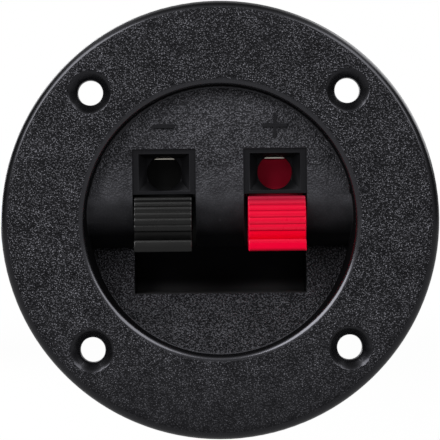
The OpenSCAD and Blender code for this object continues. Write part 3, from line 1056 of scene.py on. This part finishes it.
@dataclass(frozen=True)
class Softbox:
    """One square softbox aimed at the part. Sizes in metres.

    Attributes:
        name: Name of the lamp.
        round_deg: Direction of the lamp in the picture, from the right and upwards.
        off_deg: Angle between the lamp and the line to the camera.
        level: Strength of its face, where 1 is pi watts per square metre.
        size: Side of the softbox.
        distance: Distance from the part.
    """

    name: str
    round_deg: float
    off_deg: float
    level: float
    size: float = 0.42
    distance: float = 0.6

    def build(self) -> None:
        """Adds the lamp, which the camera doesn't see."""
        light = bpy.data.lights.new(self.name, "AREA")
        light.size = self.size
        light.energy = self.level * math.pi * self.size ** 2
        lamp = bpy.data.objects.new(self.name, light)
        spin = math.radians(self.round_deg)
        off = math.radians(self.off_deg)
        way = Vector((math.cos(spin) * math.sin(off), -math.cos(off), math.sin(spin) * math.sin(off)))
        lamp.location = way * self.distance
        lamp.rotation_mode = "QUATERNION"
        lamp.rotation_quaternion = (-way).to_track_quat("-Z", "Y")
        lamp.visible_camera = False
        bpy.context.scene.collection.objects.link(lamp)


@dataclass
class Studio:
    """Plain pale floor, white surroundings and soft lamps. Sizes in metres.

    A span of the surroundings says how far a direction goes along Y, away from the camera, or along Z,
    upwards, where 1 is straight that way.

    Attributes:
        floor_drop: Height of the part's lowest point above the floor.
        floor_size: Side of the floor.
        card: sRGB colour of the floor.
        glow: Share of the floor's white that doesn't depend on the lamps.
        white_span: Distances from the part's foot over which the floor gets all white.
        floor_level: Level of the floor in reflections.
        fill: Level of the surroundings as light on matt surfaces.
        side_level: Level of the surroundings in reflections from the sides.
        front_level: Their level in reflections from in front.
        front_span: Part of Y over which that level sets in.
        back_level: Level that they add in reflections from behind.
        back_span: Part of Y over which it sets in.
        high_level: Level that they add in reflections from above.
        high_span: Part of Z over which it sets in.
        zenith_level: What is left of it straight above the part.
        zenith_span: Part of Z over which it falls to that.
        lamps: Softboxes. The rear ones stand behind the flange, so that only the part's back gets their
            light.
    """

    floor_drop: float = 0.045
    floor_size: float = 6.0
    card: str = "#f7f7f7"
    glow: float = 0.95
    white_span: Span = (0.2, 1.2)
    floor_level: float = 0.36
    fill: float = 0.16
    side_level: float = 0.02
    front_level: float = 0.33
    front_span: Span = (0.1, -0.5)
    back_level: float = 0.3
    back_span: Span = (0.3, 0.8)
    high_level: float = 0.5
    high_span: Span = (0.6, 0.8)
    zenith_level: float = 0.05
    zenith_span: Span = (0.86, 0.98)
    lamps: tuple[Softbox, ...] = (
        Softbox("key_left", 135, 55, 5.8),
        Softbox("fill_right", 47, 55, 3.3),
        Softbox("rear_left", 150, 140, 3.0),
        Softbox("rear_right", 40, 125, 2.0),
    )

    def build(self) -> None:
        """Builds the floor, the surroundings and the lamps."""
        self.floor()
        self.surroundings()
        for lamp in self.lamps:
            lamp.build()

    @staticmethod
    def seen_straight(tree: Tree) -> tuple[bpy.types.Node, Socket]:
        """Adds the test for rays that see the background straight or through glass.

        Args:
            tree: Tree that gets the nodes.

        Returns:
            The Light Path node, and the socket that is 1 for such rays.
        """
        path = add_node(tree, "ShaderNodeLightPath")
        straight = add_node(
            tree,
            "ShaderNodeMath",
            {"operation": "MAXIMUM"},
            {0: path.outputs["Is Camera Ray"], 1: path.outputs["Is Transmission Ray"]},
        ).outputs[0]
        return path, straight

    def floor_card(self) -> Material:
        """Makes the floor's white card, which shows white to the camera and keeps the shadow.

        Returns:
            The material.
        """
        material, tree = new_material("white_card")
        # The glow is only for what is seen directly or in a reflection, so it is no lamp
        material.cycles.emission_sampling = "NONE"
        path, straight = self.seen_straight(tree)
        level = add_node(
            tree, "ShaderNodeMix", {2: self.floor_level, 3: WHITE_LEVEL}, {0: straight}
        ).outputs[0]
        seen = add_node(
            tree, "ShaderNodeMath", {"operation": "MAXIMUM"}, {0: straight, 1: path.outputs["Is Glossy Ray"]}
        ).outputs[0]
        place = add_node(tree, "ShaderNodeTexCoord").outputs["Object"]
        away = add_node(tree, "ShaderNodeVectorMath", {"operation": "LENGTH"}, {0: place}).outputs["Value"]
        # Far from the part the floor is all white, so that it has no horizon
        share = add_node(
            tree,
            "ShaderNodeMapRange",
            {
                "interpolation_type": "SMOOTHSTEP",
                "From Min": self.white_span[0],
                "From Max": self.white_span[1],
                "To Min": self.glow,
                "To Max": 1.0,
            },
            {"Value": away},
        ).outputs["Result"]
        share = add_node(tree, "ShaderNodeMath", {"operation": "MULTIPLY"}, {0: share, 1: seen}).outputs[0]
        card = add_node(tree, "ShaderNodeBsdfDiffuse", {"Color": linear(self.card)}).outputs["BSDF"]
        white = add_node(
            tree, "ShaderNodeEmission", {"Color": linear(WHITE)}, {"Strength": level}
        ).outputs["Emission"]
        mixed = add_node(tree, "ShaderNodeMixShader", None, {0: share, 1: card, 2: white}).outputs["Shader"]
        # From below the floor is clear, so that the part can be seen from there too
        below = add_node(tree, "ShaderNodeNewGeometry").outputs["Backfacing"]
        clear = add_node(tree, "ShaderNodeBsdfTransparent").outputs["BSDF"]
        mixed = add_node(tree, "ShaderNodeMixShader", None, {0: below, 1: mixed, 2: clear}).outputs["Shader"]
        add_node(tree, "ShaderNodeOutputMaterial", None, {"Surface": mixed})
        return material

    def floor(self) -> None:
        """Builds the pale floor under the part."""
        material = self.floor_card()
        bm = bmesh.new()
        bmesh.ops.create_grid(bm, x_segments=1, y_segments=1, size=self.floor_size / 2)
        mesh = bpy.data.meshes.new("floor")
        bm.to_mesh(mesh)
        bm.free()
        mesh.materials.append(material)
        floor = bpy.data.objects.new("floor", mesh)
        floor.location = (0, 0, CAD_BOX[0].z - self.floor_drop)
        bpy.context.scene.collection.objects.link(floor)

    def surroundings(self) -> None:
        """Builds the surroundings, which are white behind the part and dimmer in its reflections."""
        world = bpy.data.worlds.new("white_studio")
        bpy.context.scene.world = world
        # Each kind of ray has its own level here, so rays alone find the surroundings
        world.cycles.sampling_method = "NONE"
        world.use_nodes = True
        tree = world.node_tree
        tree.nodes.clear()
        path, straight = self.seen_straight(tree)
        direction = add_node(tree, "ShaderNodeTexCoord").outputs["Generated"]
        axes = add_node(tree, "ShaderNodeSeparateXYZ", None, {0: direction})
        level, *others = (
            add_node(
                tree,
                "ShaderNodeMapRange",
                {
                    "interpolation_type": "SMOOTHSTEP",
                    "From Min": span[0],
                    "From Max": span[1],
                    "To Min": low,
                    "To Max": full,
                },
                {"Value": axes.outputs[axis]},
            ).outputs["Result"]
            for axis, span, low, full in (
                ("Y", self.front_span, self.side_level, self.front_level),
                ("Y", self.back_span, 0.0, self.back_level),
                ("Z", self.high_span, 0.0, self.high_level),
                ("Z", self.zenith_span, 0.0, self.zenith_level - self.high_level),
            )
        )
        for other in others:
            level = add_node(tree, "ShaderNodeMath", {"operation": "ADD"}, {0: level, 1: other}).outputs[0]
        level = add_node(
            tree, "ShaderNodeMix", {2: self.fill}, {0: path.outputs["Is Glossy Ray"], 3: level}
        ).outputs[0]
        level = add_node(tree, "ShaderNodeMix", {3: WHITE_LEVEL}, {0: straight, 2: level}).outputs[0]
        white = add_node(
            tree, "ShaderNodeBackground", {"Color": linear(WHITE)}, {"Strength": level}
        ).outputs["Background"]
        add_node(tree, "ShaderNodeOutputWorld", None, {"Surface": white})


@dataclass
class Viewpoint:
    """Camera in front of the part, level with its middle. Sizes in mm.

    Attributes:
        distance: Distance of the camera from the part's front.
        view_w: Width of the view there.
        roll_deg: Turn of the picture.
        sensor: Width of the camera's sensor.
        clip: Nearest and farthest point that the camera sees, in metres.
    """

    distance: float = 250.0
    view_w: float = 74.6
    roll_deg: float = -0.6
    sensor: float = 36.0
    clip: Span = (0.01, 20.0)

    def build(self) -> None:
        """Sets up the camera."""
        data = bpy.data.cameras.new("front_view")
        data.sensor_width = self.sensor
        data.lens = self.sensor * self.distance / self.view_w
        data.clip_start, data.clip_end = self.clip
        camera = bpy.data.objects.new("front_view", data)
        camera.location = (0, CAD_BOX[0].y - self.distance * MM, 0)
        camera.rotation_mode = "QUATERNION"
        upright = Matrix.Rotation(math.radians(90), 3, "X")
        roll = Matrix.Rotation(math.radians(self.roll_deg), 3, "Z")
        camera.rotation_quaternion = (upright @ roll).to_quaternion()
        bpy.context.scene.collection.objects.link(camera)
        bpy.context.scene.camera = camera


def main() -> None:
    """Builds the camera, the studio and the pieces with their finishes."""
    logging.basicConfig(level=logging.INFO, format="%(name)s: %(message)s")
    bpy.context.scene.view_settings.view_transform = "Standard"
    Viewpoint().build()
    Studio().build()
    Housing().build()
    Lever("lever_black", "black_lever", "black_lever_plastic").build(black_lever_finishes())
    Lever("lever_red", "red_lever", "red_lever_plastic").build(red_lever_finishes())

    # Tinned strip: pale and warm, with the long marks of rolling along Y
    tin = PlatedMetal("tinned_strip", "#f4eee4", "#e2dccf", 0.14, stretch=(1.0, 0.06, 1.0)).make()
    # Drawn spring wire: grey and satin
    wire = PlatedMetal("drawn_spring_steel", "#b2b3b5", "#8d8e91", 0.36).make()
    # Plain black ABS of the cover: a little paler and duller than the front
    cover = MouldedPlastic("black_abs_cover", "#131314", "#19191a", 0.4).make()
    # Zinc-plated screws: bright and slightly blue
    zinc = PlatedMetal("zinc_plated_steel", "#d6d9de", "#b4b8bf", 0.3).make()
    for bay in Bay:
        PlainPart("contact_" + bay.value, "plated", "contact_plate", 0.12).build(tin)
    Spring(Bay.NEGATIVE, "black_lever").build(wire)
    Spring(Bay.POSITIVE, "red_lever").build(wire)
    PlainPart("rear_cover", "moulding", "cover_plastic", 0.2).build(cover)
    PlainPart("cover_screws", "plated", "screw_steel", 0.08).build(zinc)


if __name__ == "__main__":
    main()
